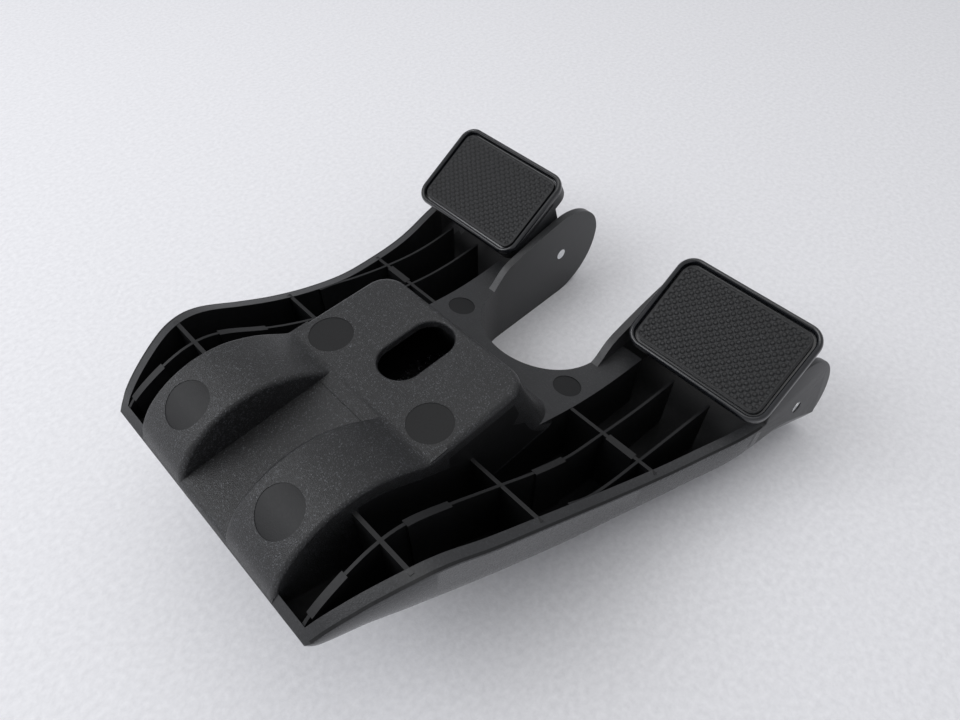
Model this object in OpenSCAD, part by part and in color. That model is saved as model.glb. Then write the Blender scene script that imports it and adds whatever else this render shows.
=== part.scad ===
// Bracket jaw for a computer tower holder: one moulded bracket with two tilting grip pads.
// X runs from the nose to the hinge ears, Y across, Z up from the flat show face.
// Units are millimetres.

/* [Which piece] */
// Piece to draw

/* [Grip pads] */
// Length of a pad along its hinge
pad_len = 60; // [50:0.5:60]
// Width of a pad across its hinge
pad_wid = 41.6; // [34:0.2:44]
// Depth of the pad tray
pad_depth = 9.5; // [8:0.5:10]
// Corner radius of a pad
pad_corner = 7; // [4:0.5:9]
// Width of the raised bead round a pad
bead_w = 2.2; // [1.6:0.1:3]
// Gap between the bead and the rubber
groove_w = 1.3; // [0.8:0.1:2]
// Tilt of the pads as drawn
pad_tilt = 31; // [0:1:33]
// Distance from the hinge to the bead plane
pad_reach = 31.2; // [31:0.1:33]

/* [Hinges] */
// Hinge pin diameter
pin_d = 5; // [4:0.5:6]
// Running clearance of a pad on its pin, on the radius
pin_clear = 0.05; // [0.02:0.01:0.1]
// Radius of the round ear ends
ear_r = 25; // [22:0.5:26]
// Thickness of an ear
ear_t = 3; // [2.5:0.1:3.3]

/* [Bracket] */
// Height of the boss plate above the show face
boss_z = 70; // [66:1:74]
// Half width of the boss
boss_half = 35.2; // [33:0.2:36]
// Skin thickness
skin = 3; // [2.4:0.1:3.4]
// Rim width at the top of the outer wall
rim_w = 4.4; // [3.6:0.1:5]
// Thickness of the cross ribs
rib_t = 2; // [1.6:0.1:2.4]
// Thickness of the long ribs
long_rib_t = 1.6; // [1.2:0.1:2]
// Half width of the gap between the arms
gap_half = 27; // [24:0.5:28]

/* [Clamp slot] */
// Width of the access slot in the boss plate
slot_w = 15.6; // [14:0.2:17]
// Distance between the slot end centres
slot_run = 13; // [8:0.5:16]
// Nominal diameter of the clamp screw
screw_d = 10; // [8:2:10]
// Outer diameter of the clamp washer
washer_d = 30; // [24:1:32]

/* [Hidden] */
$fn = 96;

total_len = 213;
pin_x = 188;
pin_z = 25;
pad_mid = 60.7;
pad_shift = 1.1;
ear_in = 27;
// the outer ear face passes through this point on the pin, leaning in at the top and flaring back
ear_out = 93.4;
ear_lean = 10;
ear_flare = 6.84;
outer_r = 20.5;
hump_in = 11.6;
hump_out = 35.2;
boss_end = 97;
boss_foot = 110.5;
gap_cx = 147.5;
slot_x = 73.6;
deck_top = 40;
deck_t = 3;
step_x = 6;
// gap left between the clamp washers and the deck
rest_gap = 0.3;
// thickness of the clamp washer and of the lower washer
washer_t = 2.5;
low_washer_t = 2;
// body colours
plastic = [0.10, 0.10, 0.11];
bead_black = [0.07, 0.07, 0.09];
rubber = [0.16, 0.16, 0.17];
steel = [0.72, 0.73, 0.74];
black_steel = [0.14, 0.14, 0.15];

// half width of the outline at distance x from the nose
outline = [[0, 49.2], [2, 50.9], [5, 52.4], [14, 56], [28, 60.9], [45, 64.1], [66, 66.9], [82, 69.5],
    [100, 73.1], [120, 78], [140, 83.1], [160, 88.9], [179, 92.7], [192, 95.4], [202, 97.5], [213, 99.4]];
// height of the rim
rim = [[0, 64.6], [5, 69.6], [14, 74.2], [23, 76.9], [29, 77.2], [34, 76.2], [40, 73.4], [52, 65.4],
    [66, 57], [82, 48.8], [100, 41.2], [120, 35.6], [135, 32.6], [150, 31.2], [170, 31], [210, 31],
    [213, 27]];
// height where the outer wall starts to turn under
turn = [[0, 64.2], [10, 67.4], [16, 68.3], [28, 66.4], [36, 62.4], [46, 56.2], [61, 46.2], [78, 36.6],
    [95, 30], [113, 26], [132, 22], [151, 19.2], [165, 20.6], [178, 22.6], [190, 18.6], [202, 12.8],
    [213, 8.4]];
// height of the show face
show = [[0, 63.4], [1.5, 59.5], [5, 56], [12, 52.4], [28, 46.2], [46, 36.6], [61, 27.4], [78, 17.4],
    [95, 9.4], [113, 3.4], [128, 0.7], [140, 0], [182, 0], [188, 0.45], [192, 1.35], [196, 2.6], [200, 4.4],
    [204, 7], [207.5, 10.5], [210.5, 15], [212.3, 20], [213, 24]];
// top of the two fingers
finger = [[0, 64.2], [1.5, 68.8], [3, 71.5], [5.4, 74.6], [8.1, 77], [11, 78.9], [14, 80.5], [17, 81.6],
    [20.2, 82.5], [23.5, 83], [27, 83.1], [30.3, 82.8], [34, 82.1], [37.6, 80.8], [41.5, 79], [45.7, 76.6],
    [50, 73.5], [54.5, 69.8]];
// half width of the inner long rib
inner_rib = [[1, 46], [28, 46.2], [52, 46.4], [70, 48], [86, 50.2], [100, 51.6], [119, 52.2], [160, 54.4]];
// half width of the outer long rib
outer_rib = [[86, 65.6], [92, 66.9], [104, 67.6], [119, 68], [140, 69], [160, 70.6]];

function spot(t, x, i = 0) = (i >= len(t) - 2 || x < t[i + 1][0]) ? i : spot(t, x, i + 1);
function rise(t, i, j) = (t[j][1] - t[i][1]) / (t[j][0] - t[i][0]);
function lean(t, i) = i == 0 ? rise(t, 0, 1)
    : i == len(t) - 1 ? rise(t, i - 1, i)
    : rise(t, i - 1, i + 1);
function blend(a, b, m, n, h, s) = a * (1 + 2 * s) * (1 - s) * (1 - s) + m * h * s * (1 - s) * (1 - s)
    + b * s * s * (3 - 2 * s) - n * h * s * s * (1 - s);
function along(t, x) = let (i = spot(t, x), h = t[i + 1][0] - t[i][0])
    blend(t[i][1], t[i + 1][1], lean(t, i), lean(t, i + 1), h, (x - t[i][0]) / h);

// stations along the length: close together at the nose
xs = concat([0, 0.7, 1.5, 3, 5, 7.5, 10, 13, 16], [for (x = [20 : step_x : 188]) x],
    [192, 196, 200, 204, 207.5, 210.5, 212.3, total_len]);
back = [for (i = [len(xs) - 1 : -1 : 0]) xs[i]];

module profile(points, low, high) {
    // upright plate in the XZ plane from Y = low to Y = high
    translate([0, high, 0])
        rotate([90, 0, 0])
            linear_extrude(high - low)
                polygon(points);
}

module plan(points, low, high) {
    translate([0, 0, low])
        linear_extrude(high - low)
            polygon(points);
}

module outline_prism(inset, low, high) {
    plan(concat([for (x = xs) [x, along(outline, x) - inset]],
        [for (x = back) [x, inset - along(outline, x)]]), low, high);
}

// everything between two heights that follow the length
module between(lower, upper, lift_low, lift_high, from_x, to_x, half) {
    span = concat([from_x], [for (x = xs) if (x > from_x && x < to_x) x], [to_x]);
    nape = [for (i = [len(span) - 1 : -1 : 0]) span[i]];
    profile(concat([for (x = span) [x, max(0, along(lower, x)) + lift_low]],
        [for (x = nape) [x, along(upper, x) + lift_high]]), -half, half);
}

// keeps what lies inside a face that leans under the outer wall by the given angle
module under_lean(side, angle, drop) {
    far = 260;
    edge = [for (x = xs) [x, (along(outline, x)) * sin(angle) - (along(turn, x) - drop) * cos(angle)]];
    mirror([0, side > 0 ? 0 : 1, 0])
        rotate([angle - 90, 0, 0])
            translate([0, 0, -far])
                linear_extrude(2 * far)
                    polygon(concat([[0, -far]], [for (e = edge) [e[0], e[1]]], [[total_len, -far]]));
}

module shell_envelope() {
    intersection() {
        outline_prism(0, -1, 90);
        between(show, rim, 0, 0, 0, total_len, 120);
        under_lean(1, 68, 3);
        under_lean(-1, 68, 3);
        under_lean(1, 44, 7.6);
        under_lean(-1, 44, 7.6);
        under_lean(1, 20, 14.2);
        under_lean(-1, 20, 14.2);
        ear_space(1);
        ear_space(-1);
    }
}

// axes of the leaning outer ear face
module ear_face(side) {
    mirror([0, side > 0 ? 0 : 1, 0])
        translate([pin_x, ear_out, pin_z])
            rotate([ear_lean, 0, ear_flare])
                children();
}

// keeps what lies inside the leaning outer ear face
module ear_space(side) {
    ear_face(side)
        translate([-400, -400, -400])
            cube([800, 400, 800]);
}

// one side bay, open at the top, with its ribs left standing
module bay(side) {
    inner = [for (x = xs) if (x > 2.6 && x < 160) [x, along(outline, x) - rim_w]];
    mirror([0, side > 0 ? 0 : 1, 0])
        difference() {
            intersection() {
                plan(concat([[2.6, boss_half]], [[2.6, along(outline, 2.6) - rim_w]], inner, [[160, 84.5],
                    [168, 86.2], [175, 87.4], [188, 88.9], [203.5, 90.7], [203.5, ear_in + ear_t],
                    [160, ear_in + ear_t], [160, 39.6], [121, 37.4], [100, boss_half + 0.4],
                    [90, boss_half]]), -1, 90);
                between(show, rim, skin, 40, 2.6, total_len, 120);
                under_bay();
            }
            ribs();
        }
}

// keeps the bay inside the turned-under wall
module under_bay() {
    far = 260;
    edge = [for (x = xs) [x, (along(outline, x) - 4) * sin(44) - (along(turn, x) - 5.2) * cos(44)]];
    rotate([44 - 90, 0, 0])
        translate([0, 0, -far])
            linear_extrude(2 * far)
                polygon(concat([[0, -far]], edge, [[total_len, edge[len(edge) - 1][1]], [total_len + 10,
                    edge[len(edge) - 1][1]], [total_len + 10, -far]]));
}

module ribs() {
    // cross ribs
    for (x = [28.6, 71, 119.3])
        translate([x - rib_t / 2, boss_half - 3, -5])
            cube([rib_t, 60, 100]);
    // long ribs
    follow(inner_rib, 1, 158, long_rib_t);
    follow(outer_rib, 83.2, 157, long_rib_t);
    // thickened lands
    follow(inner_rib, 5, 17, 3.2);
    follow(inner_rib, 36.5, 52, 3.2);
    follow(inner_rib, 84.5, 98, 3.2);
    translate([119.3 - 1.6, 54.4, -5])
        cube([3.2, 11.6, 100]);
}

module follow(t, from_x, to_x, thick) {
    pts = concat([from_x], [for (x = [20 : 6 : 158]) if (x > from_x + 1 && x < to_x - 1) x], [to_x]);
    rev = [for (i = [len(pts) - 1 : -1 : 0]) pts[i]];
    plan(concat([for (x = pts) [x, along(t, x) - thick / 2]], [for (x = rev) [x, along(t, x) + thick / 2]]),
        -4, 94);
}

// raised middle: fingers, valley and boss plate, before hollowing
module middle_solid() {
    // boss plate and the valley floor between the fingers
    profile([[0, 63.6], [1.2, 66.6], [3, 67.6], [54.5, boss_z], [boss_end, boss_z], [boss_foot, 37],
        [boss_foot, 30], [100, 12], [82, 19.2], [61, 31], [46, 39], [28, 48.4], [12, 54.4], [5, 58],
        [1.5, 61]], -boss_half - 1.2, boss_half + 1.2);
    for (side = [-1, 1])
        mirror([0, side > 0 ? 0 : 1, 0])
            profile(concat([for (f = finger) f], [[54.5, 50], [20, 60], [3, 62.4]]), hump_in, hump_out + 1.2);
}

// the space under the middle, open at the show face
module middle_hollow() {
    half = boss_half - skin + 0.6;
    // under the boss plate, above the deck
    profile([[58, deck_top], [boss_foot - skin - 1.9, deck_top], [boss_end - skin, boss_z - skin],
        [58, boss_z - skin]], -half, half);
    // below the deck
    profile([[40, -5], [115, -5], [115, 30], [112, 33], [107, 34.5], [102, deck_top - deck_t],
        [40, deck_top - deck_t]], -half, half);
    // front part under the fingers
    profile([[22, -5], [44, -5], [44, deck_top - deck_t - 3], [54.5, deck_top - deck_t - 3],
        [54.5, boss_z - skin], [8, 65], [8, 60], [22, 40]], -half, half);
    for (side = [-1, 1])
        mirror([0, side > 0 ? 0 : 1, 0])
            profile([[7, 62], [9, 73], [15, 77.6], [21, 79.6], [27, 80.1], [34, 79.1], [41, 76.2], [48, 71.4],
                [51, 67], [51, 60]], hump_in + skin, hump_out - skin);
}

module obround(x, run, width, low, high) {
    translate([x, 0, low])
        cylinder(d = width, h = high - low);
    translate([x + run, 0, low])
        cylinder(d = width, h = high - low);
    translate([x, -width / 2, low])
        cube([run, width, high - low]);
}

// gap between the two arms
module arm_gap(r, low, high) {
    translate([gap_cx, 0, low])
        cylinder(r = r, h = high - low);
    translate([gap_cx, -r, low])
        cube([90, 2 * r, high - low]);
}

// ear plate, its top edge falling back to the shelf
module ear(low, high, from_x) {
    ear_disc(low, high);
    profile([[from_x, 3], [pin_x, 3], [pin_x, pin_z + ear_r - 0.2], [183, 49.6], [171, 46.8],
        [155, 41.4], [149, 36.4], [from_x, 30.4]], low, high);
}

module ear_disc(low, high) {
    translate([pin_x, low, pin_z])
        rotate([-90, 0, 0])
            cylinder(r = ear_r, h = high - low);
}

// round outer ear, its lower edge trimmed by the turned-under wall
module outer_ear(side) {
    intersection() {
        ear_face(side)
            rotate([90, 0, 0])
                cylinder(r = outer_r, h = ear_t);
        under_lean(side, 68, 3);
        under_lean(side, 44, 7.6);
        under_lean(side, 20, 14.2);
    }
}

module bracket() {
    difference() {
        union() {
            difference() {
                union() {
                    difference() {
                        shell_envelope();
                        // clears the valley between the fingers
                        profile([[-1, 62.4], [1.4, 64.6], [3.4, 65.6], [56, 67.6], [56, 95], [-1, 95]],
                            -hump_in - 2, hump_in + 2);
                    }
                    middle_solid();
                    // arm side walls rising to the inner ears
                    for (side = [-1, 1])
                        mirror([0, side > 0 ? 0 : 1, 0])
                            ear(ear_in - 1, ear_in + ear_t, 143);
                }
                bay(1);
                bay(-1);
                // open tips between the ears
                for (side = [-1, 1])
                    mirror([0, side > 0 ? 0 : 1, 0])
                        translate([203, ear_in + ear_t, -5])
                            cube([20, 90, 80]);
            }
            outer_ear(1);
            outer_ear(-1);
        }
        middle_hollow();
        arm_gap(gap_half, -5, 90);
        // access slot in the boss plate
        obround(slot_x, slot_run, slot_w, boss_z - skin - 2, boss_z + 2);
        // running slot for the clamp screw in the deck
        obround(slot_x + 0.9, slot_run + 1, screw_d + 0.8, deck_top - deck_t - 2, deck_top + 2);
        // ejector marks
        for (side = [-1, 1])
            translate([64.2, side * 24.6, boss_z - 0.25])
                cylinder(d = 15, h = 3);
        // hinge pin bores
        for (side = [-1, 1])
            mirror([0, side > 0 ? 0 : 1, 0])
                translate([pin_x, ear_in - 3, pin_z])
                    rotate([-90, 0, 0])
                        cylinder(d = pin_d, h = ear_out - ear_in + 6);
    }
}

module bracket_body() {
    color(plastic)
        translate([-total_len / 2, 0, 0])
            bracket();
}

// pad pieces are drawn with the hinge on the origin and the face up
module in_place(side) {
    translate([pin_x - total_len / 2, side * pad_mid, pin_z])
        rotate([0, -pad_tilt, 0])
            children();
}

module tile(len_x, len_y, r, low, high) {
    for (sx = [-1, 1], sy = [-1, 1])
        translate([pad_shift + sx * (len_x / 2 - r), sy * (len_y / 2 - r), low])
            cylinder(r = r, h = high - low);
    translate([pad_shift - len_x / 2 + r, -len_y / 2, low])
        cube([len_x - 2 * r, len_y, high - low]);
    translate([pad_shift - len_x / 2, -len_y / 2 + r, low])
        cube([len_x, len_y - 2 * r, high - low]);
}

module pad_frame() {
    floor_w = pad_reach - 5.6;
    wall = 2.2;
    hub_r = 5.6;
    // the hub stops short of the leaning outer ear
    hub_end = 24;
    cut = 2 * (bead_w);
    difference() {
        union() {
            difference() {
                tile(pad_wid, pad_len, pad_corner, pad_reach - pad_depth, pad_reach);
                // seat for the rubber
                tile(pad_wid - cut, pad_len - cut, pad_corner - bead_w, pad_reach - 2.8, pad_reach + 1);
                // hollow underside
                tile(pad_wid - 2 * wall, pad_len - 2 * wall, pad_corner - wall, pad_reach - pad_depth - 1,
                    floor_w);
            }
            // hub along the pin
            translate([0, -pad_len / 2, 0])
                rotate([-90, 0, 0])
                    cylinder(r = hub_r, h = pad_len / 2 + hub_end);
            // webs between the hub and the tray
            for (y = [-pad_len / 2, -12.5, 4.5, hub_end - 3])
                translate([0, y, 0])
                    rotate([90, 0, 0])
                        translate([0, 0, -3])
                            linear_extrude(3)
                                polygon([[-hub_r, 0], [hub_r, 0], [11, floor_w - 2], [11, floor_w + 1],
                                    [-9, floor_w + 1], [-9, floor_w - 2]]);
        }
        translate([0, -pad_len, 0])
            rotate([-90, 0, 0])
                cylinder(r = pin_d / 2 + pin_clear, h = 2 * pad_len);
    }
}

module pad_insert() {
    cut = 2 * (bead_w + groove_w);
    tile(pad_wid - cut, pad_len - cut, pad_corner - bead_w - groove_w, pad_reach - 2.8, pad_reach - 0.5);
}

module hinge_pin() {
    reach_in = pad_mid - ear_in;
    reach_out = ear_out - 0.1 - pad_mid;
    translate([0, -reach_in, 0])
        rotate([-90, 0, 0])
            cylinder(d = pin_d, h = reach_in + reach_out);
}

module pad_frame_left() {
    color(bead_black)
        in_place(1)
            pad_frame();
}

module pad_frame_right() {
    color(bead_black)
        in_place(-1)
            mirror([0, 1, 0])
                pad_frame();
}

module pad_insert_left() {
    color(rubber)
        in_place(1)
            pad_insert();
}

module pad_insert_right() {
    color(rubber)
        in_place(-1)
            pad_insert();
}

module hinge_pin_left() {
    color(steel)
        in_place(1)
            hinge_pin();
}

module hinge_pin_right() {
    color(steel)
        in_place(-1)
            mirror([0, 1, 0])
                hinge_pin();
}

// the clamp stack stands at the ear end of its slot
module stack_place() {
    translate([slot_x + slot_run + 1.4 - total_len / 2, 0, 0])
        children();
}

module hex(across, low, high) {
    reach = across / 2 / cos(30);
    translate([0, 0, low])
        linear_extrude(high - low)
            polygon([for (i = [0 : 5]) [reach * cos(60 * i), reach * sin(60 * i)]]);
}

nut_top = deck_top - deck_t - rest_gap - low_washer_t;

module clamp_screw() {
    head_z = deck_top + rest_gap + washer_t;
    color(black_steel)
        stack_place()
            difference() {
                union() {
                    translate([0, 0, head_z])
                        rotate_extrude()
                            polygon([[0, 0], [8.75, 0], [8.75, 0.8], [8.2, 2.4], [7.2, 3.8], [5.8, 4.9],
                                [4.6, 5.5], [0, 5.5]]);
                    translate([0, 0, deck_top - 24])
                        cylinder(d = screw_d, h = 24 + 3);
                }
                hex(6, head_z + 2.2, head_z + 9);
            }
}

module ring(outer, inner, low, high) {
    difference() {
        translate([0, 0, low])
            cylinder(d = outer, h = high - low);
        translate([0, 0, low - 1])
            cylinder(d = inner, h = high - low + 2);
    }
}

module clamp_washer() {
    color(steel)
        stack_place()
            ring(washer_d, screw_d + 0.5, deck_top + rest_gap, deck_top + rest_gap + washer_t);
}

module lower_washer() {
    color(steel)
        stack_place()
            ring(20, screw_d + 0.5, nut_top, nut_top + low_washer_t);
}

module clamp_nut() {
    color(steel)
        stack_place()
            difference() {
                hex(17, nut_top - 8.4, nut_top);
                translate([0, 0, nut_top - 10])
                    cylinder(d = screw_d, h = 12);
            }
}

bracket_body();
pad_frame_left();
pad_frame_right();
pad_insert_left();
pad_insert_right();
hinge_pin_left();
hinge_pin_right();
clamp_screw();
clamp_washer();
lower_washer();
clamp_nut();
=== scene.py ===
# Looks for the computer tower holder bracket. Shapes are worked out in millimetres from the
# nose of the bracket and then placed in the row frame, in metres.
import math

import bmesh
import bpy
import numpy as np
from mathutils import Matrix, Vector


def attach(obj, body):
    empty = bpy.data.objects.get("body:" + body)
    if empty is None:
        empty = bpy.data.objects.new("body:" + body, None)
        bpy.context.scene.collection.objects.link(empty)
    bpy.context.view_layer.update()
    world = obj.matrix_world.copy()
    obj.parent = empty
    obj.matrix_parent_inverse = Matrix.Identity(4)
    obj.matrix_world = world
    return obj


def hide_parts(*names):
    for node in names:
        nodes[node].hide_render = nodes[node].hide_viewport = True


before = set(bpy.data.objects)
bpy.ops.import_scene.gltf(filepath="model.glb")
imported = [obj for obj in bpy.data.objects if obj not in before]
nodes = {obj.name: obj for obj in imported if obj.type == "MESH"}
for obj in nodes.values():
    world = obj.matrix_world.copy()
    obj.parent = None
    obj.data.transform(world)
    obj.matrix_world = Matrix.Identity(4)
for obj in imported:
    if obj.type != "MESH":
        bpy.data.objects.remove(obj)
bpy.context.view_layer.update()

# ---------------------------------------------------------------- tables, in millimetres
LENGTH = 213.0
PIN_X, PIN_Z = 188.0, 25.0
PAD_MID, PAD_TILT, PAD_REACH, PAD_SHIFT = 60.7, math.radians(31), 31.2, 1.1
PAD_LONG, PAD_WIDE, PAD_CORNER = 60.0, 41.6, 7.0
EAR_R, EAR_IN, EAR_OUT, EAR_T = 25.0, 27.0, 93.4, 3.0
EAR_LEAN, EAR_FLARE, OUTER_R = math.radians(10), math.radians(6.84), 20.5
BOSS_Z, BOSS_HALF, BOSS_END, BOSS_FOOT = 70.0, 35.2, 97.0, 110.5
HUMP_IN = 11.6
RIM_W = 4.4
SLOT_X, SLOT_RUN, SLOT_WIDE = 73.6, 13, 15.6
RIB_T, CROSS_T, THICK_T = 1.1, 1.3, 2.7
CROSS_RIBS = (28.6, 71.0, 119.3)
THICK_SPANS = ((5, 17), (36.5, 52), (84.5, 98))
HUB_R, HUB_LOW, HUB_HIGH, WEB_T = 5.6, -30, 24, 3
DECK_TOP, DECK_T, SKIN = 40.0, 3.0, 3.0

OUTLINE = [(0, 49.2), (2, 50.9), (5, 52.4), (14, 56), (28, 60.9), (45, 64.1), (66, 66.9), (82, 69.5),
           (100, 73.1), (120, 78), (140, 83.1), (160, 88.9), (179, 92.7), (192, 95.4), (202, 97.5),
           (213, 99.4)]
RIM = [(0, 64.6), (5, 69.6), (14, 74.2), (23, 76.9), (29, 77.2), (34, 76.2), (40, 73.4), (52, 65.4),
       (66, 57), (82, 48.8), (100, 41.2), (120, 35.6), (135, 32.6), (150, 31.2), (170, 31), (210, 31),
       (213, 27)]
TURN = [(0, 64.2), (10, 67.4), (16, 68.3), (28, 66.4), (36, 62.4), (46, 56.2), (61, 46.2), (78, 36.6),
        (95, 30), (113, 26), (132, 22), (151, 19.2), (165, 20.6), (178, 22.6), (190, 18.6), (202, 12.8),
        (213, 8.4)]
SHOW = [(0, 63.4), (1.5, 59.5), (5, 56), (12, 52.4), (28, 46.2), (46, 36.6), (61, 27.4), (78, 17.4),
        (95, 9.4), (113, 3.4), (128, 0.7), (140, 0), (182, 0), (188, 0.45), (192, 1.35), (196, 2.6),
        (200, 4.4), (204, 7), (207.5, 10.5), (210.5, 15), (212.3, 20), (213, 24)]
FINGER = [(0, 64.2), (1.5, 68.8), (3, 71.5), (5.4, 74.6), (8.1, 77), (11, 78.9), (14, 80.5), (17, 81.6),
          (20.2, 82.5), (23.5, 83), (27, 83.1), (30.3, 82.8), (34, 82.1), (37.6, 80.8), (41.5, 79),
          (45.7, 76.6), (50, 73.5), (54.5, 70.4), (57, 69.9), (62, 69.8)]
VALLEY = [(-1, 62.4), (0, 64.4), (0.6, 65.7), (1.6, 66.9), (3, 67.6), (8, 68.0), (20, 68.5), (40, 69.4),
          (54.5, 69.9), (62, 69.9)]
INNER_RIB = [(1, 46), (28, 46.2), (52, 46.4), (70, 48), (86, 50.2), (100, 51.6), (119, 52.2), (160, 54.4)]
OUTER_RIB = [(83, 64.9), (92, 66.9), (104, 67.6), (119, 68), (140, 69), (160, 70.6)]
BAY_IN = [(2, 35.2), (90, 35.2), (100, 35.6), (121, 37.4), (160, 39.6)]
BAY_OUT = [(160, 84.5), (168, 86.2), (175, 87.4), (188, 88.9), (203.5, 90.7), (214, 92)]


def along(table, x):
    """Smooth curve through a table, with the slope at each point taken from its neighbours."""
    t = table
    i = 0
    while i < len(t) - 2 and x >= t[i + 1][0]:
        i += 1

    def slope(a, b):
        return (t[b][1] - t[a][1]) / (t[b][0] - t[a][0])

    last = len(t) - 1
    m = slope(0, 1) if i == 0 else slope(i - 1, i + 1)
    n = slope(last - 1, last) if i + 1 == last else slope(i, i + 2)
    h = t[i + 1][0] - t[i][0]
    s = (x - t[i][0]) / h
    a, b = t[i][1], t[i + 1][1]
    return (a * (1 + 2 * s) * (1 - s) ** 2 + m * h * s * (1 - s) ** 2
            + b * s * s * (3 - 2 * s) - n * h * s * s * (1 - s))


def straight(table, x):
    xs, ys = zip(*table)
    return float(np.interp(x, xs, ys))


def show_z(x):
    return max(0.0, along(SHOW, x))


# ---------------------------------------------------------------- mesh helpers
def to_frame(points):
    p = np.array(points, float)
    p[:, 0] -= LENGTH / 2
    return p * 0.001


def mesh_object(name, verts, faces, place=True):
    me = bpy.data.meshes.new(name)
    co = to_frame(verts) if place else np.array(verts, float) * 0.001
    me.from_pydata([tuple(v) for v in co], [], [tuple(f) for f in faces])
    bm = bmesh.new()
    bm.from_mesh(me)
    bmesh.ops.remove_doubles(bm, verts=bm.verts, dist=1e-7)
    bmesh.ops.recalc_face_normals(bm, faces=bm.faces)
    if bm.calc_volume(signed=True) < 0:
        bmesh.ops.reverse_faces(bm, faces=bm.faces)
    bm.to_mesh(me)
    bm.free()
    ob = bpy.data.objects.new(name, me)
    bpy.context.scene.collection.objects.link(ob)
    return ob


def loft(name, rings, place=True):
    """Closed solid through rings of the same number of points."""
    n = len(rings[0])
    verts = [p for ring in rings for p in ring]
    faces = []
    for k in range(len(rings) - 1):
        for i in range(n):
            j = (i + 1) % n
            faces.append((k * n + i, k * n + j, (k + 1) * n + j, (k + 1) * n + i))
    faces.append(tuple(range(n)))
    faces.append(tuple((len(rings) - 1) * n + i for i in reversed(range(n))))
    return mesh_object(name, verts, faces, place)


def block(name, points, low, high):
    """Upright plate: a polygon in the XZ plane from Y = low to Y = high."""
    return loft(name, [[(x, y, z) for x, z in points] for y in (low, high)])


def plan_block(name, points, low, high):
    return loft(name, [[(x, y, z) for x, y in points] for z in (low, high)])


def cylinder_y(name, x, z, r, low, high, n=64):
    return loft(name, [[(x + r * math.cos(2 * math.pi * i / n), y, z + r * math.sin(2 * math.pi * i / n))
                        for i in range(n)] for y in (low, high)])


def boolean(target, other, operation):
    mod = target.modifiers.new("step", "BOOLEAN")
    mod.operation = operation
    mod.object = other
    mod.solver = "MANIFOLD"
    graph = bpy.context.evaluated_depsgraph_get()
    me = bpy.data.meshes.new_from_object(target.evaluated_get(graph))
    target.modifiers.clear()
    old = target.data
    target.data = me
    bpy.data.meshes.remove(old)
    gone = other.data
    bpy.data.objects.remove(other)
    bpy.data.meshes.remove(gone)
    if len(me.polygons) == 0:
        raise RuntimeError("a boolean step left nothing")
    return target


def add(target, *others):
    for o in others:
        boolean(target, o, "UNION")


def cut(target, *others):
    for o in others:
        boolean(target, o, "DIFFERENCE")


def common(target, other):
    return boolean(target, other, "INTERSECT")


def smooth(ob, degrees=32):
    me = ob.data
    me.polygons.foreach_set("use_smooth", [True] * len(me.polygons))
    me.set_sharp_from_angle(angle=math.radians(degrees))


# ---------------------------------------------------------------- bracket shell
def stations(low, high, step=1.5):
    fine = [0, 0.35, 0.7, 1.1, 1.5, 2.2, 3, 4, 5, 6.2, 7.5, 9, 10.5, 12]
    xs = fine + list(np.arange(13.5, 203, step)) + list(np.arange(203, 212, 0.9)) + [212, 212.6, 213]
    return [low] + [x for x in xs if low + 0.05 < x < high - 0.05] + [high]


def half_section(x, top_lift=0.0):
    """Right half of the outer skin at x, from the top of the rim down to the show face."""
    w, top, turn, low = along(OUTLINE, x), along(RIM, x) + top_lift, along(TURN, x), show_z(x)
    fall = min(1.1, 0.45 * (top - turn))
    turn = max(min(turn, top - fall - 0.1), low + 0.5)
    v = turn - low
    h = min(1.05 * v, w - 24)
    e = min(0.7, fall * 0.6)
    pts = [(w - 5.2, top), (w - e - 0.5, top - fall * 0.72), (w - 0.35 * e, top - fall * 0.95),
           (w, top - fall - 0.5 * e)]
    for k in range(0, 19):
        a = math.pi / 2 * k / 18
        pts.append((w - h * (1 - math.cos(a)), low + v * (1 - math.sin(a))))
    pts += [(20, low), (8, low)]
    return pts


def envelope(top_lift=0.0):
    rings = []
    for x in stations(0, LENGTH):
        half = half_section(x, top_lift)
        ring = [(x, y, z) for y, z in half] + [(x, -y, z) for y, z in reversed(half)]
        rings.append(ring)
    return loft("bracket_shell", rings)


def bay_cutter(low, high, inner, outer):
    rings = []
    for x in stations(low, high):
        w, top, turn, bottom = along(OUTLINE, x), along(RIM, x), along(TURN, x), show_z(x)
        turn = max(turn, bottom + 0.5)
        v = max(turn - bottom - SKIN, 0.5)
        h = max(min(1.05 * (turn - bottom), w - 24) - SKIN, 0.5)
        yi, yo = inner(x), outer(x)
        mid = w - h - SKIN
        pts = [(yi, 96), (yo, 96)]
        for k in range(0, 13):
            a = math.pi / 2 * k / 12
            y = min(mid + h * math.cos(a), yo)
            y = max(y, yi + 0.4 + 0.02 * (12 - k))
            pts.append((y, turn - v * math.sin(a)))
        pts.append((yi, turn - v))
        rings.append([(x, y, z) for y, z in pts])
    return rings


def mirrored(rings, side):
    return [[(x, side * y, z) for x, y, z in ring] for ring in rings]


def offset_line(points, d):
    """An open line moved by d along its normals, to its right when it runs towards +x."""
    p = np.array(points, float)
    t = np.gradient(p, axis=0)
    t /= np.linalg.norm(t, axis=1)[:, None]
    n = np.stack([t[:, 1], -t[:, 0]], 1)
    return p + n * d


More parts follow.
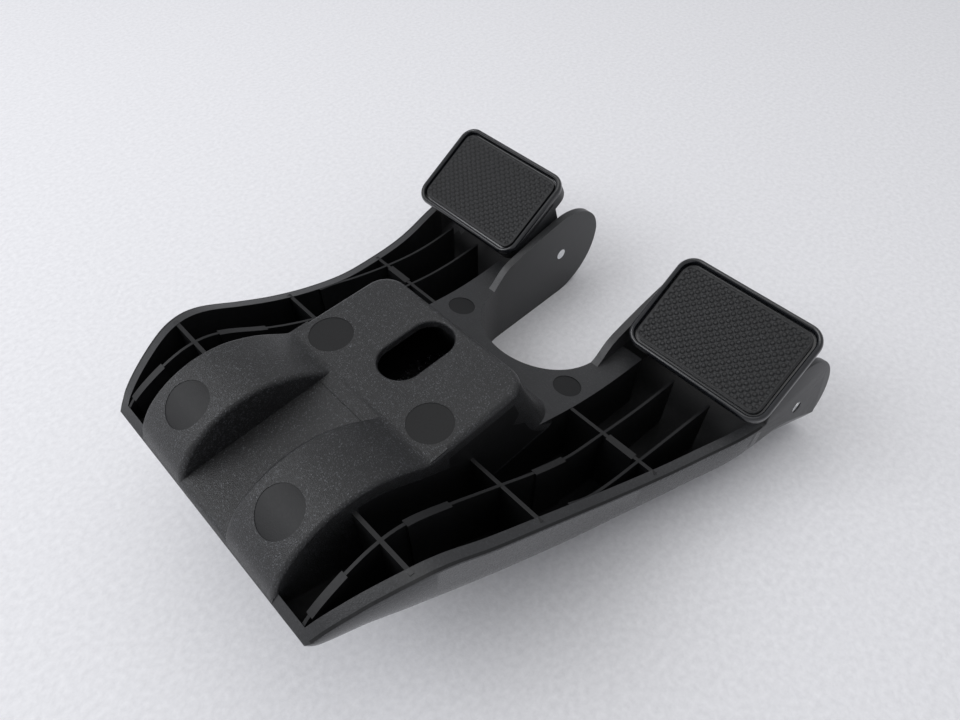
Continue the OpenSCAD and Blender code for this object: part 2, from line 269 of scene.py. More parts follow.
def finger(side):
    line = [(x, along(FINGER, x)) for x in
            [0, 0.4, 0.9, 1.5, 2.2, 3, 4, 5.4, 6.7, 8.1, 9.5, 11, 12.5, 14, 15.5, 17, 18.6, 20.2, 21.8, 23.5,
             25.2, 27, 28.6, 30.3, 32, 34, 35.8, 37.6, 39.5, 41.5, 43.6, 45.7, 47.8, 50, 51.5, 53, 54.5, 55.8,
             57, 59, 62]]
    rings = []
    edges = []
    for y0, sign, r in ((HUMP_IN, 1, 1.7), (BOSS_HALF, -1, 1.5)):
        part = []
        for k in range(0, 7):
            a = math.pi / 2 * k / 6
            part.append((y0 + sign * r * (1 - math.cos(a)), r * (1 - math.sin(a))))
        edges.append(part)
    spans = edges[0] + [(23.4, 0)] + list(reversed(edges[1]))
    for y, d in spans:
        top = offset_line(line, d)
        ring = [(px, side * y, pz) for px, pz in top] + [(62, side * y, 50), (20, side * y, 56),
                                                        (3.5, side * y, 61.5)]
        rings.append(ring)
    return loft("finger", rings)


def boss():
    """Boss block: plan outline lofted upwards, its rear wall leaning and flaring to a foot."""
    rings = []
    levels = [35.4, 36.4, 37.4, 38.4, 39.5, 42, 45, 49, 53, 57, 61, 64.5, 66.5, 68]
    steps = [(z, 0.0) for z in levels]
    r_edge = 2.0
    for k in range(1, 9):
        a = math.pi / 2 * k / 8
        steps.append((BOSS_Z - r_edge * (1 - math.sin(a)), r_edge * (1 - math.cos(a))))
    for z, inset in steps:
        f = min(max((BOSS_Z - z) / 33.0, 0), 1.25)
        rear = BOSS_END + (BOSS_FOOT - BOSS_END) * f ** 1.15 + 3.2 * max(0, f - 0.8) ** 2 * 25
        half = BOSS_HALF + 1.6 * max(0, f - 0.45) ** 2 / 0.3
        rear = min(rear, 116)
        half = min(half, 37.4)
        corner = 8.5 + 1.5 * f
        rear -= inset
        half -= inset
        corner = max(corner - inset, 3)
        ring = [(50, -half)]
        for k in range(0, 13):
            a = -math.pi / 2 + math.pi / 2 * k / 12
            ring.append((rear - corner + corner * math.cos(a), -half + corner + corner * math.sin(a)))
        for k in range(0, 13):
            a = math.pi / 2 * k / 12
            ring.append((rear - corner + corner * math.cos(a), half - corner + corner * math.sin(a)))
        ring.append((50, half))
        rings.append([(x, y, z) for x, y in ring])
    return loft("boss", rings)


def shell_floor(x, y, lift=1.5):
    """Height inside the skin of the shell at x and distance y from the middle."""
    w, turn, low = along(OUTLINE, x), along(TURN, x), show_z(x)
    turn = max(turn, low + 0.5)
    v = turn - low
    h = min(1.05 * v, w - 24)
    c = min(max((y + 1.0 - (w - h)) / h, 0.0), 1.0)
    return turn - v * math.sqrt(1 - c * c) + lift


def rib_along(table, low, high, thick, sink=0.25, side=1):
    rings = []
    for x in stations(low, high, 2.0):
        y, top = along(table, x), along(RIM, x) - sink
        bottom = min(shell_floor(x, y + thick / 2), top - 1)
        rings.append([(x, side * (y - thick / 2), bottom), (x, side * (y + thick / 2), bottom),
                      (x, side * (y + thick / 2 * 0.9), top), (x, side * (y - thick / 2 * 0.9), top)])
    return loft("rib", rings)


def rib_across(x, side, y0=None, y1=None, thick=CROSS_T, sink=0.25):
    y0 = BOSS_HALF - 2 if y0 is None else y0
    y1 = along(OUTLINE, x) - 2.5 if y1 is None else y1
    top = along(RIM, x) - sink
    low = [(y, min(shell_floor(x, y), top - 1)) for y in np.linspace(y0, y1, 24)]
    pts = [(y0, top), (y1, top)] + list(reversed(low))
    rings = [[(xx, side * y, z) for y, z in pts] for xx in (x - thick / 2, x + thick / 2)]
    return loft("cross_rib", rings)


def obround(name, x, run, width, low, high, n=40):
    pts = []
    for k in range(n + 1):
        a = math.pi / 2 + math.pi * k / n
        pts.append((x + width / 2 * math.cos(a), width / 2 * math.sin(a)))
    for k in range(n + 1):
        a = -math.pi / 2 + math.pi * k / n
        pts.append((x + run + width / 2 * math.cos(a), width / 2 * math.sin(a)))
    return plan_block(name, pts, low, high)


def slot_cutter(x, run, width, top, edge=0.9):
    """Slot through the boss plate, its top edge rounded over."""
    rings = []
    steps = [(top - 8, 0)] + [(top - edge + edge * math.sin(a), edge * (1 - math.cos(a)))
                              for a in np.linspace(0, math.pi / 2, 7)] + [(top + 3, edge + 0.01)]
    n = 40
    for z, grow in steps:
        r = width / 2 + grow
        ring = []
        for k in range(n + 1):
            a = math.pi / 2 + math.pi * k / n
            ring.append((x + r * math.cos(a), r * math.sin(a), z))
        for k in range(n + 1):
            a = -math.pi / 2 + math.pi * k / n
            ring.append((x + run + r * math.cos(a), r * math.sin(a), z))
        rings.append(ring)
    return loft("slot", rings)


def arm_gap():
    r, cx = 27.0, 147.5
    pts = [(cx + 90, r)]
    for k in range(97):
        a = math.pi / 2 + math.pi * k / 96
        pts.append((cx + r * math.cos(a), r * math.sin(a)))
    pts.append((cx + 90, -r))
    return plan_block("gap", pts, -6, 96)


def arc(cx, cz, r, a0, a1, n):
    return [(cx + r * math.cos(math.radians(a0 + (a1 - a0) * k / n)),
             cz + r * math.sin(math.radians(a0 + (a1 - a0) * k / n))) for k in range(n + 1)]


def inner_ear(side):
    top = [(x, z) for x, z in [(143, 31), (146, 33.2), (149.5, 36.6), (152, 38.4), (155, 39.6), (160, 40.9),
                               (166, 42.2), (171, 43.2), (177, 44.2), (183, 45.1)]]
    round_end = [(x, z if z < PIN_Z else PIN_Z + (z - PIN_Z) * 0.83)
                 for x, z in arc(PIN_X, PIN_Z, EAR_R, 90, -90, 64)]
    pts = [(143, 2)] + top + round_end + [(180, 0.4), (165, 0.4)]
    low, high = EAR_IN - 1, EAR_IN + EAR_T
    return block("ear", pts, *sorted((side * low, side * high)))


def ear_face(side):
    """Axes of the leaning outer ear face, as a matrix in millimetres from the nose."""
    turn = Matrix.Rotation(EAR_FLARE, 4, "Z") @ Matrix.Rotation(EAR_LEAN, 4, "X")
    place = Matrix.Translation((PIN_X, EAR_OUT, PIN_Z)) @ turn
    return Matrix.Scale(side, 4, (0, 1, 0)) @ place


def in_ear_axes(side, rings):
    m = ear_face(side)
    return [[tuple(m @ Vector(p)) for p in ring] for ring in rings]


def ear_plate(side, radius, thick, edge=0.5, n=160):
    rings = []
    for y, rad in ((-thick, radius - 0.2), (-thick + 0.2, radius), (-edge, radius),
                   (-edge * 0.3, radius - edge * 0.3), (0, radius - edge)):
        rings.append([(rad * math.cos(2 * math.pi * i / n), y, rad * math.sin(2 * math.pi * i / n))
                      for i in range(n)])
    return loft("ear", in_ear_axes(side, rings))


def outside_ear(side):
    """Everything beyond the leaning outer ear face."""
    corners = [(-90, -150), (90, -150), (90, 150), (-90, 150)]
    return loft("beyond", in_ear_axes(side, [[(x, y, z) for x, z in corners] for y in (0, 60)]))


def outer_ear(side):
    """Round outer ear, its lower edge trimmed by the turned-under wall."""
    ear = ear_plate(side, OUTER_R, EAR_T)
    return common(ear, envelope(top_lift=30))


def build_bracket():
    body = envelope()
    cut(body, outside_ear(1), outside_ear(-1))
    # room above the valley floor, before the fingers and the boss go on
    steps = [0.0, 0.3, 0.6, 1.0, 1.6, 2.3, 3, 5, 8, 12, 16, 20, 26, 32, 40, 48, 54.5]
    floor = [(x, along(VALLEY, x)) for x in steps + [58]]
    cut(body, block("clear", [(-2, 62)] + floor + [(58, 96), (-2, 96)], -34, 34))
    valley = [(x, along(VALLEY, x)) for x in steps + [62]]
    add(body, block("valley", valley + [(62, 50), (40, 45), (20, 55), (4, 61)], -34.9, 34.9))
    add(body, finger(1), finger(-1), boss())
    for side in (1, -1):
        add(body, inner_ear(side))
    # side bays
    for side in (1, -1):
        first = bay_cutter(2.6, 160.0, lambda x: straight(BAY_IN, x) + 0.02,
                           lambda x: min(along(OUTLINE, x) - RIM_W, straight(BAY_OUT, x) if x > 159 else 999))
        second = bay_cutter(159.9, 203.2, lambda x: EAR_IN + EAR_T, lambda x: straight(BAY_OUT, x))
        cut(body, loft("bay", mirrored(first, side)), loft("bay", mirrored(second, side)))
        low, high = sorted((side * (EAR_IN + EAR_T), side * 120))
        cut(body, block("tip", [(203, -6), (224, -6), (224, 96), (203, 96)], low, high))
    # the flank of the boss inside each bay is made again with its slope
    add(body, boss())
    for side in (1, -1):
        for x in CROSS_RIBS:
            add(body, rib_across(x, side))
        add(body, rib_along(INNER_RIB, 2.2, 160.4, RIB_T, side=side))
        add(body, rib_along(OUTER_RIB, 84, 160.4, RIB_T, side=side))
        for low, high in THICK_SPANS:
            add(body, rib_along(INNER_RIB, low, high, THICK_T, 0.18, side))
        add(body, rib_across(CROSS_RIBS[-1], side, 54.4, 66.0, THICK_T, 0.18))
        add(body, outer_ear(side))
    return body


def hollow(body):
    half = BOSS_HALF - SKIN + 0.6
    upper = [(58, DECK_TOP), (BOSS_FOOT - SKIN - 1.9, DECK_TOP), (BOSS_END - SKIN, BOSS_Z - SKIN),
             (58, BOSS_Z - SKIN)]
    cut(body, block("room", upper, -half, half))
    lower = [(40, -6), (115, -6), (115, 30), (112, 33), (107, 34.5), (102, DECK_TOP - DECK_T),
             (40, DECK_TOP - DECK_T)]
    cut(body, block("room", lower, -half, half))
    front = [(22, -6), (44, -6), (44, 34), (54.5, 34), (54.5, BOSS_Z - SKIN), (8, 65), (8, 60), (22, 40)]
    cut(body, block("room", front, -half, half))
    under = [(7, 62), (9, 73), (15, 77.6), (21, 79.6), (27, 80.1), (34, 79.1), (41, 76.2), (48, 71.4),
             (51, 67), (51, 60)]
    for side in (1, -1):
        low, high = sorted((side * (HUMP_IN + SKIN), side * (BOSS_HALF - SKIN)))
        cut(body, block("room", under, low, high))


def details(body):
    cut(body, arm_gap())
    cut(body, slot_cutter(SLOT_X, SLOT_RUN, SLOT_WIDE, BOSS_Z))
    cut(body, obround("deck_slot", 74.5, 14, 10.8, DECK_TOP - DECK_T - 2, DECK_TOP + 2))
    for side in (1, -1):
        cut(body, cylinder_y("bore", PIN_X, PIN_Z, 2.5, *sorted((side * 24, side * 100))))


shell = build_bracket()
hollow(shell)
details(shell)

# ---------------------------------------------------------------- ejector marks
MARKS = []


def mark(x, y, r):
    """A faint round ejector mark: a shallow pocket."""
    MARKS.append((x, y, r))


for s in (1, -1):
    mark(64.2, s * 24.6, 7.5)
    mark(14.4, s * 23.4, 7.5)
    mark(126.8, s * 28.9, 5.5)


def mark_cutter(x, y, r):
    """Cutter for a mark on the flat of the boss or on the sloping rim."""
    if x > 100:
        z, lean = along(RIM, x), math.atan2(along(RIM, x + 1) - along(RIM, x - 1), 2)
    else:
        z, lean = BOSS_Z, 0.0
    n = 72
    rings = []
    for h in (-0.16, 6.0):
        ring = []
        for k in range(n):
            a = 2 * math.pi * k / n
            u, v = r * math.cos(a), r * math.sin(a)
            px, pz = u * math.cos(lean) - h * math.sin(lean), u * math.sin(lean) + h * math.cos(lean)
            ring.append((x + px, y + v, z + pz))
        rings.append(ring)
    return loft("mark", rings)


def fan_loft(name, rings, centre_low, centre_high, inner_ring):
    """Closed solid whose lower cap is a disc of rings that follow a curved surface."""
    n = len(rings[0])
    verts = []
    for ring in inner_ring:
        verts += ring
    base = len(verts)
    verts += rings[0] + rings[1]
    faces = []
    m = len(inner_ring)
    verts.append(centre_low)
    c_low = len(verts) - 1
    verts.append(centre_high)
    c_high = len(verts) - 1
    for i in range(n):
        j = (i + 1) % n
        faces.append((c_low, j, i))
        for k in range(m - 1):
            faces.append((k * n + i, k * n + j, (k + 1) * n + j, (k + 1) * n + i))
        faces.append(((m - 1) * n + i, (m - 1) * n + j, base + j, base + i))
        faces.append((base + i, base + j, base + n + j, base + n + i))
        faces.append((base + n + i, base + n + j, c_high))
    return mesh_object(name, verts, faces)


def curved_mark(x, y, r):
    """Cutter for a mark on a finger: its floor follows the curve of the top."""
    n = 72
    lean = math.atan2(along(FINGER, x + 1) - along(FINGER, x - 1), 2)

    def ring_at(rad, lift):
        out = []
        for k in range(n):
            a = 2 * math.pi * k / n
            px = x + rad * math.cos(a) * math.cos(lean)
            out.append((px, y + rad * math.sin(a), along(FINGER, px) + lift))
        return out

    inner = [ring_at(r * f, -0.17) for f in (0.2, 0.4, 0.6, 0.8, 0.93)]
    outer = [ring_at(r, -0.17), ring_at(r, 6.0)]
    return fan_loft("mark", outer, (x, y, along(FINGER, x) - 0.17), (x, y, along(FINGER, x) + 8.0), inner)


for mx, my, mr in MARKS:
    cut(shell, curved_mark(mx, my, mr) if mx < 50 else mark_cutter(mx, my, mr))

smooth(shell)


# ---------------------------------------------------------------- materials
def principled(name):
    m = bpy.data.materials.new(name)
    m.use_nodes = True
    tree = m.node_tree
    return m, tree, tree.nodes["Principled BSDF"]


def node(tree, kind, **values):
    n = tree.nodes.new(kind)
    for k, v in values.items():
        if k.startswith("in_"):
            key = k[3:]
            n.inputs[int(key) if key.isdigit() else key.replace("_", " ")].default_value = v
        else:
            setattr(n, k, v)
    return n


def ramp(tree, source, stops):
    r = tree.nodes.new("ShaderNodeValToRGB")
    while len(r.color_ramp.elements) > len(stops):
        r.color_ramp.elements.remove(r.color_ramp.elements[-1])
    while len(r.color_ramp.elements) < len(stops):
        r.color_ramp.elements.new(0.5)
    for e, (p, c) in zip(r.color_ramp.elements, stops):
        e.position = p
        e.color = (*c, 1) if len(c) == 3 else c
    tree.links.new(source, r.inputs["Fac"])
    return r


def grey(v, blue=1.0):
    return (v, v * (1 + 0.3 * (blue - 1)), v * blue)


def moulded(name, base, rough, grain, height, painted_glint=0.0, level=0.5, coat=0.0, blue=1.1, fine=0.35):
    """Moulded black plastic: spark-eroded grain in colour, roughness and bump, with light specks painted into
    the colour as glints.
    """
    m, tree, p = principled(name)
    tc = node(tree, "ShaderNodeTexCoord")
    cells = node(tree, "ShaderNodeTexVoronoi", in_Scale=grain)
    tree.links.new(tc.outputs["Object"], cells.inputs["Vector"])
    cloud = node(tree, "ShaderNodeTexNoise", in_Scale=grain * 0.55, in_Detail=5.0, in_Roughness=0.62)
    tree.links.new(tc.outputs["Object"], cloud.inputs["Vector"])
    broad = node(tree, "ShaderNodeTexNoise", in_Scale=26.0, in_Detail=3.0, in_Roughness=0.55)
    tree.links.new(tc.outputs["Object"], broad.inputs["Vector"])
    # painted glints: the brightest cells become light specks
    glint_specks = ramp(tree, cells.outputs["Color"], [(0.0, (0, 0, 0)), (0.72, (0, 0, 0)), (0.97, (1, 1, 1))])
    tone = ramp(tree, cloud.outputs["Fac"], [(0.25, grey(base * (1 - fine), blue)),
                                          (0.75, grey(base * (1 + fine), blue))])
    wide = ramp(tree, broad.outputs["Fac"], [(0.3, (0.82, 0.82, 0.82)), (0.7, (1.15, 1.15, 1.15))])
    mul = node(tree, "ShaderNodeMix", data_type="RGBA", blend_type="MULTIPLY")
    mul.inputs["Factor"].default_value = 1.0
    tree.links.new(tone.outputs["Color"], mul.inputs["A"])
    tree.links.new(wide.outputs["Color"], mul.inputs["B"])
    # the glint specks are painted into the base colour here
    lift = node(tree, "ShaderNodeMix", data_type="RGBA", blend_type="MIX")
    scaled = node(tree, "ShaderNodeMath", operation="MULTIPLY", in_1=painted_glint)
    tree.links.new(glint_specks.outputs["Color"], scaled.inputs[0])
    tree.links.new(scaled.outputs[0], lift.inputs["Factor"])
    tree.links.new(mul.outputs["Result"], lift.inputs["A"])
    lift.inputs["B"].default_value = (0.42, 0.44, 0.48, 1)
    tree.links.new(lift.outputs["Result"], p.inputs["Base Color"])
    rr = ramp(tree, cloud.outputs["Fac"], [(0.2, (rough - 0.07,) * 3), (0.8, (rough + 0.07,) * 3)])
    tree.links.new(rr.outputs["Color"], p.inputs["Roughness"])
    bump = node(tree, "ShaderNodeBump", in_Strength=height, in_Distance=0.00012)
    mixh = node(tree, "ShaderNodeMath", operation="ADD")
    tree.links.new(cells.outputs["Distance"], mixh.inputs[0])
    tree.links.new(cloud.outputs["Fac"], mixh.inputs[1])
    tree.links.new(mixh.outputs[0], bump.inputs["Height"])
    tree.links.new(bump.outputs["Normal"], p.inputs["Normal"])
    p.inputs["Specular IOR Level"].default_value = level
    p.inputs["Coat Weight"].default_value = coat
    p.inputs["Coat Roughness"].default_value = 0.25
    return m


def metal(name, colour, rough, stretch=(1, 1, 1), grain=900.0):
    m, tree, p = principled(name)
    tc = node(tree, "ShaderNodeTexCoord")
    mp = node(tree, "ShaderNodeMapping")
    mp.inputs["Scale"].default_value = stretch
    tree.links.new(tc.outputs["Object"], mp.inputs["Vector"])
    n = node(tree, "ShaderNodeTexNoise", in_Scale=grain, in_Detail=3.0)
    tree.links.new(mp.outputs["Vector"], n.inputs["Vector"])
    c = ramp(tree, n.outputs["Fac"], [(0.3, tuple(v * 0.82 for v in colour)), (0.7, colour)])
    tree.links.new(c.outputs["Color"], p.inputs["Base Color"])
    r = ramp(tree, n.outputs["Fac"], [(0.3, (rough - 0.06,) * 3), (0.7, (rough + 0.08,) * 3)])
    tree.links.new(r.outputs["Color"], p.inputs["Roughness"])
    b = node(tree, "ShaderNodeBump", in_Strength=0.25, in_Distance=0.00004)
    tree.links.new(n.outputs["Fac"], b.inputs["Height"])
    tree.links.new(b.outputs["Normal"], p.inputs["Normal"])
    p.inputs["Metallic"].default_value = 1.0
    return m


# the sparkle amount of each copy sets its painted glint specks in the colour
MAT_SPARK_GLINT = moulded("plastic_spark", 0.010, 0.40, 3600, 0.85, painted_glint=0.20, level=0.5)
MAT_SATIN = moulded("plastic_satin", 0.022, 0.42, 2600, 0.30, painted_glint=0.04, level=0.5)
# painted sheen: the outer copy has a lighter base colour for the outer show face
MAT_OUTER_SHEEN = moulded("plastic_outer_painted_sheen", 0.040, 0.27, 1400, 0.10, level=0.5)
# painted shade: the bay copy has a darker base colour for the recessed bays, undersides and hollows
MAT_BAY_SHADE = moulded("plastic_bay_painted_shade", 0.008, 0.42, 1200, 0.15, level=0.3)
MAT_DISC = moulded("plastic_disc", 0.008, 0.50, 2600, 0.2, level=0.3)
MAT_RIB = moulded("plastic_rib", 0.010, 0.50, 2000, 0.2, level=0.3)
shell.data.materials.clear()
for mat in (MAT_SPARK_GLINT, MAT_SATIN, MAT_OUTER_SHEEN, MAT_BAY_SHADE, MAT_DISC, MAT_RIB):
    shell.data.materials.append(mat)


SPARK, SATIN, OUTER, BAY, DISC, RIB = range(6)


def zone(x, y, z, nx, ny, nz):
    """Which finish a face of the bracket has, from where it is and which way it looks; the bay finish is
    darkened as painted shade and the outer finish lightened as painted sheen.
    """
    a = abs(y)
    for mx, my, mr in MARKS:
        if (x - mx) ** 2 + (y - my) ** 2 < (mr - 0.02) ** 2 * 1.0001 and nz > 0.3:
            top = along(FINGER, x) if mx < 50 else BOSS_Z if mx < 100 else along(RIM, x)
            if -0.6 < z - top < -0.09:
                return DISC
    w = along(OUTLINE, min(max(x, 0), LENGTH))
    top = along(RIM, min(max(x, 0), LENGTH))
    if x > 160 and a > 84 and abs(ny) > 0.93 and nz * ny * y > 0:
        return SATIN
    if x > 166 and a > 84 and nz > -0.1:
        return SATIN
    # the outer wall, downward faces and the nose front take the lighter outer copy, a painted sheen
    if a > w - 0.25 and z < top - 0.9:
        return OUTER
    if nz < -0.15 and z < top - 2 and a > 37:
        return OUTER
    if x < 1.0 and nz < 0.2 and nx < -0.3:
        return OUTER
    if a < BOSS_HALF + 0.1 and x < BOSS_END + 0.5 and z > 63 and nz > -0.2:
        return SPARK
    if BOSS_END - 9 < x < 118 and a < 41 and z > top + 0.1:
        return SPARK
    if BOSS_END - 9 < x < 118 and 34.6 < a < 38.5 and z > 34 and abs(ny) > 0.35:
        return SPARK
    # bay walls and floors take the darker copy, painted shade in the recesses
    if 2.6 < x < 176 and straight(BAY_IN, x) + 0.4 < a < w - RIM_W - 0.2:
        return RIB if nz > 0.5 and z > top - 8 else BAY
    if z > top - 0.6 and nz > 0.5:
        return SATIN
    if x > 140 and abs(ny) > 0.9 and (a < EAR_IN + 0.1 or z > 31):
        return SATIN
    if 118 < x < 176 and a < EAR_IN + 0.2 and z < top - 0.2:
        return SATIN
    if x > 160 and z > 31 and a > 25:
        return SATIN
    # all remaining faces take the darker bay copy, painted shade
    return BAY


def paint():
    me = shell.data
    half = LENGTH / 2
    for poly in me.polygons:
        c, n = poly.center, poly.normal
        poly.material_index = zone(c.x * 1000 + half, c.y * 1000, c.z * 1000, n.x, n.y, n.z)


paint()
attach(shell, "bracket")
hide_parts("bracket_body")


# ---------------------------------------------------------------- grip pads
MAT_BEAD = moulded("pad_bead", 0.007, 0.20, 1300, 0.05, level=0.6, coat=0.35, blue=1.4)
MAT_TRAY = moulded("pad_tray", 0.020, 0.45, 1900, 0.3, level=0.45, blue=1.15)
# the rubber also gets a few painted glint specks in its colour
MAT_RUBBER = moulded("grip_rubber_black", 0.009, 0.50, 2600, 0.3, level=0.4, painted_glint=0.06, blue=1.1)


def rounded(inset, h, n=12):
    """Rounded rectangle of the pad, inset from its outline, at height h over the hinge."""
    hx, hy = PAD_WIDE / 2 - inset, PAD_LONG / 2 - inset
    r = max(PAD_CORNER - inset, 0.8)
    pts = []
    for cx, cy, a0 in ((hx - r, hy - r, 0), (-hx + r, hy - r, 90), (-hx + r, -hy + r, 180),
                       (hx - r, -hy + r, 270)):
        for k in range(n + 1):
            a = math.radians(a0 + 90 * k / n)
            pts.append((PAD_SHIFT + cx + r * math.cos(a), cy + r * math.sin(a), h))
    return pts


def pad_axes(side):
    """Where a pad made about its own hinge sits in the frame, in metres."""
    hinge = Vector((PIN_X - LENGTH / 2, side * PAD_MID, PIN_Z)) / 1000
    return Matrix.Translation(hinge) @ Matrix.Rotation(-PAD_TILT, 4, "Y")


def in_place(ob, side):
    ob.data.transform(pad_axes(side))
    return ob


def tray(side):
    top = PAD_REACH
    steps = [(2.35, top - 2.9), (2.25, top - 1.5), (2.15, top - 0.95), (1.95, top - 0.5), (1.65, top - 0.15),
             (1.25, top), (0.85, top - 0.1), (0.5, top - 0.35), (0.2, top - 0.8), (0.05, top - 1.4),
             (0.0, top - 2.0), (0.08, top - 2.6), (0.3, top - 3.0), (0.55, top - 3.2), (0.62, top - 3.5),
             (0.7, top - 6.5), (0.8, top - 8.9), (1.0, top - 9.35), (1.3, top - 9.5), (2.0, top - 9.5),
             (2.3, top - 9.2), (2.3, top - 5.7)]
    ob = loft("tray", [rounded(d, h) for d, h in steps], place=False)
    n = 96
    hub = loft("hub", [[(rad * math.cos(2 * math.pi * i / n), y, rad * math.sin(2 * math.pi * i / n))
                        for i in range(n)]
                       for y, rad in ((HUB_LOW, HUB_R - 0.4), (HUB_LOW + 0.4, HUB_R),
                                      (HUB_HIGH - 0.4, HUB_R), (HUB_HIGH, HUB_R - 0.4))], place=False)
    add(ob, hub)
    floor_w = top - 5.6
    for y in (HUB_LOW, -12.5, 4.5, HUB_HIGH - WEB_T):
        pts = [(-5.4, 0), (5.4, 0), (11, floor_w - 2), (11, floor_w + 1), (-9, floor_w + 1),
               (-9, floor_w - 2)]
        lo, hi = (y + 0.35, y + WEB_T - 0.35)
        web = loft("web", [[(px, yy, pz) for px, pz in pts] for yy in (lo, hi)], place=False)
        add(ob, web)
    if side < 0:
        ob.data.transform(Matrix.Scale(-1, 4, (0, 1, 0)))
        ob.data.flip_normals()
    bore = loft("bore", [[(2.56 * math.cos(2 * math.pi * i / n), y, 2.56 * math.sin(2 * math.pi * i / n))
                          for i in range(n)] for y in (-40, 40)], place=False)
    cut(ob, bore)
    return ob


def rubber(side):
    """Rubber sheet with rows of small raised lozenges, pitch 2.2 mm, on the slant."""
    gap = 2.2 + 1.0
    hx, hy = PAD_WIDE / 2 - gap, PAD_LONG / 2 - gap
    r = PAD_CORNER - gap
    nx, ny = 150, 230
    pitch = 2.2
    edge = 1.1
    top = PAD_REACH - 0.75

    def reach(y):
        over = abs(y) - (hy - r)
        return hx if over <= 0 else hx - r + math.sqrt(max(0.0, r * r - over * over))

    verts, faces = [], []
    for j in range(ny + 1):
        y = -hy + 2 * hy * j / ny
        half = reach(y * 0.99999)
        for i in range(nx + 1):
            x = -half + 2 * half * i / nx
            a = (x + y) / (pitch * 1.42) * 2 * math.pi
            b = (x - y) / (pitch * 1.42) * 2 * math.pi
            wave = 0.5 + 0.25 * (math.cos(a) + math.cos(b))
            wave = min(max((wave - 0.28) / 0.34, 0), 1)
            wave = wave * wave * (3 - 2 * wave)
            d = min(half - abs(x), hy - abs(y))
            fade = min(max(d / edge, 0), 1)
            fade = fade * fade * (3 - 2 * fade)
            z = top - 0.30 * (1 - fade) - 0.55 * wave * min(max((d - 0.7) / 0.8, 0), 1)
            verts.append((PAD_SHIFT + x, y, z))
    w = nx + 1
    for j in range(ny):
        for i in range(nx):
            faces.append((j * w + i, j * w + i + 1, (j + 1) * w + i + 1, (j + 1) * w + i))
    loop = [i for i in range(w)] + [j * w + nx for j in range(1, ny + 1)] + \
           [ny * w + i for i in range(nx - 1, -1, -1)] + [j * w for j in range(ny - 1, 0, -1)]
    base = len(verts)
    for k in loop:
        verts.append((verts[k][0], verts[k][1], PAD_REACH - 2.8))
    m = len(loop)
    for k in range(m):
        faces.append((loop[k], loop[(k + 1) % m], base + (k + 1) % m, base + k))
    faces.append(tuple(base + k for k in range(m)))
    return mesh_object("rubber", verts, faces, place=False)


for side, word in ((1, "left"), (-1, "right")):
    frame_piece = in_place(tray(side), side)
    frame_piece.name = "pad_tray_" + word
    smooth(frame_piece, 30)
    frame_piece.data.materials.clear()
    frame_piece.data.materials.append(MAT_BEAD)
    frame_piece.data.materials.append(MAT_TRAY)
    inv = pad_axes(side).inverted()
    for poly in frame_piece.data.polygons:
        h = (inv @ poly.center).z * 1000
        poly.material_index = 0 if h > PAD_REACH - 3.05 else 1
    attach(frame_piece, word + "_pad")
    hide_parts("pad_frame_" + word)
    grip = in_place(rubber(side), side)
    grip.name = "pad_rubber_" + word
    smooth(grip, 60)
    grip.data.materials.append(MAT_RUBBER)
    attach(grip, word + "_pad")
    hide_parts("pad_insert_" + word)

# ---------------------------------------------------------------- steel pieces, kept from the CAD
MAT_PIN = metal("pin_end_steel", (0.86, 0.87, 0.88), 0.38)
MAT_WASHER = metal("washer_zinc", (0.82, 0.84, 0.87), 0.22, (1, 1, 6), 500)
MAT_SCREW = metal("screw_black", (0.035, 0.035, 0.038), 0.42, grain=1400)
for name, mat in (("hinge_pin_left", MAT_PIN), ("hinge_pin_right", MAT_PIN), ("clamp_washer", MAT_WASHER),
                  ("lower_washer", MAT_WASHER), ("clamp_nut", MAT_WASHER), ("clamp_screw", MAT_SCREW)):
    ob = nodes[name]
    ob.data.materials.clear()
    ob.data.materials.append(mat)
    bevel = ob.modifiers.new("edge", "BEVEL")
    bevel.width = 0.0006 if name == "clamp_washer" else 0.0002
    bevel.segments = 2
    bevel.limit_method = "ANGLE"
    bevel.angle_limit = math.radians(40)

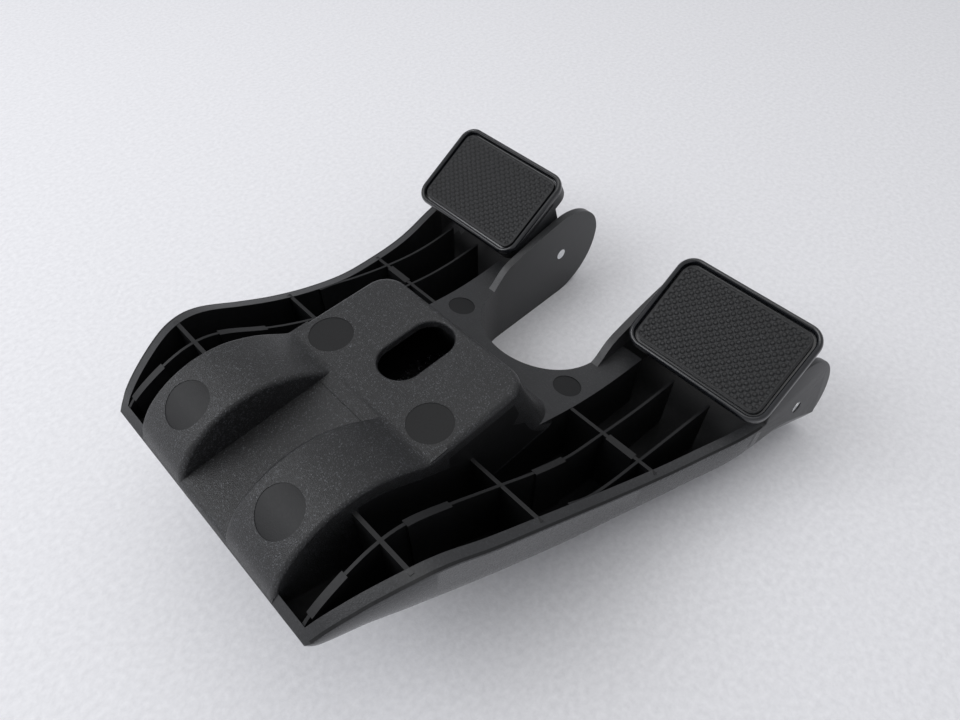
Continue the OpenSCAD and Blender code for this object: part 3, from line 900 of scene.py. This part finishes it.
# ---------------------------------------------------------------- floor, light, camera
bpy.ops.mesh.primitive_plane_add(size=3.0, location=(0, 0, 0))
floor = bpy.context.object
floor.name = "studio_floor"
fm, ft, fp = principled("floor_pale")
ftc = node(ft, "ShaderNodeTexCoord")
fn = node(ft, "ShaderNodeTexNoise", in_Scale=420.0, in_Detail=4.0, in_Roughness=0.6)
ft.links.new(ftc.outputs["Object"], fn.inputs["Vector"])
fc = ramp(ft, fn.outputs["Fac"], [(0.3, (0.76, 0.76, 0.78)), (0.7, (0.86, 0.86, 0.88))])
ft.links.new(fc.outputs["Color"], fp.inputs["Base Color"])
fb = node(ft, "ShaderNodeBump", in_Strength=0.25, in_Distance=0.0006)
ft.links.new(fn.outputs["Fac"], fb.inputs["Height"])
ft.links.new(fb.outputs["Normal"], fp.inputs["Normal"])
fp.inputs["Roughness"].default_value = 0.7
fp.inputs["Specular IOR Level"].default_value = 0.2
floor.data.materials.append(fm)

world = bpy.data.worlds.new("studio")
bpy.context.scene.world = world
world.use_nodes = True
world.node_tree.nodes["Background"].inputs["Color"].default_value = (0.95, 0.96, 1.0, 1)
world.node_tree.nodes["Background"].inputs["Strength"].default_value = 0.50


def area(name, place, aim, size, power, colour=(1, 1, 1)):
    light = bpy.data.lights.new(name, "AREA")
    light.shape = "RECTANGLE"
    light.size, light.size_y = size
    light.energy = power
    light.color = colour
    ob = bpy.data.objects.new(name, light)
    ob.location = place
    ob.rotation_euler = (Vector(aim) - Vector(place)).to_track_quat("-Z", "Y").to_euler()
    bpy.context.scene.collection.objects.link(ob)
    return ob


area("window", (-0.7, 0.55, 0.9), (0, 0, 0.02), (0.9, 0.7), 7.2, (0.96, 0.97, 1.0))
area("ceiling", (0.2, 0.1, 1.2), (0, 0, 0), (1.2, 1.2), 4, (1.0, 0.99, 0.97))

cam = bpy.data.cameras.new("camera")
cam.sensor_width = 36.0
cam.lens = 25.71
cam.clip_start = 0.005
cam_ob = bpy.data.objects.new("camera", cam)
right = Vector((0.7157, -0.6984, 0.0012)).normalized()
ahead = Vector((0.4387, 0.4482, -0.7789)).normalized()
up = right.cross(ahead).normalized()
right = ahead.cross(up).normalized()
basis = Matrix((right, up, -ahead)).transposed()
cam_ob.matrix_world = Matrix.Translation(Vector((-0.11133, -0.11644, 0.24157))) @ basis.to_4x4()
bpy.context.scene.collection.objects.link(cam_ob)
bpy.context.scene.camera = cam_ob
bpy.context.scene.view_settings.view_transform = "Standard"
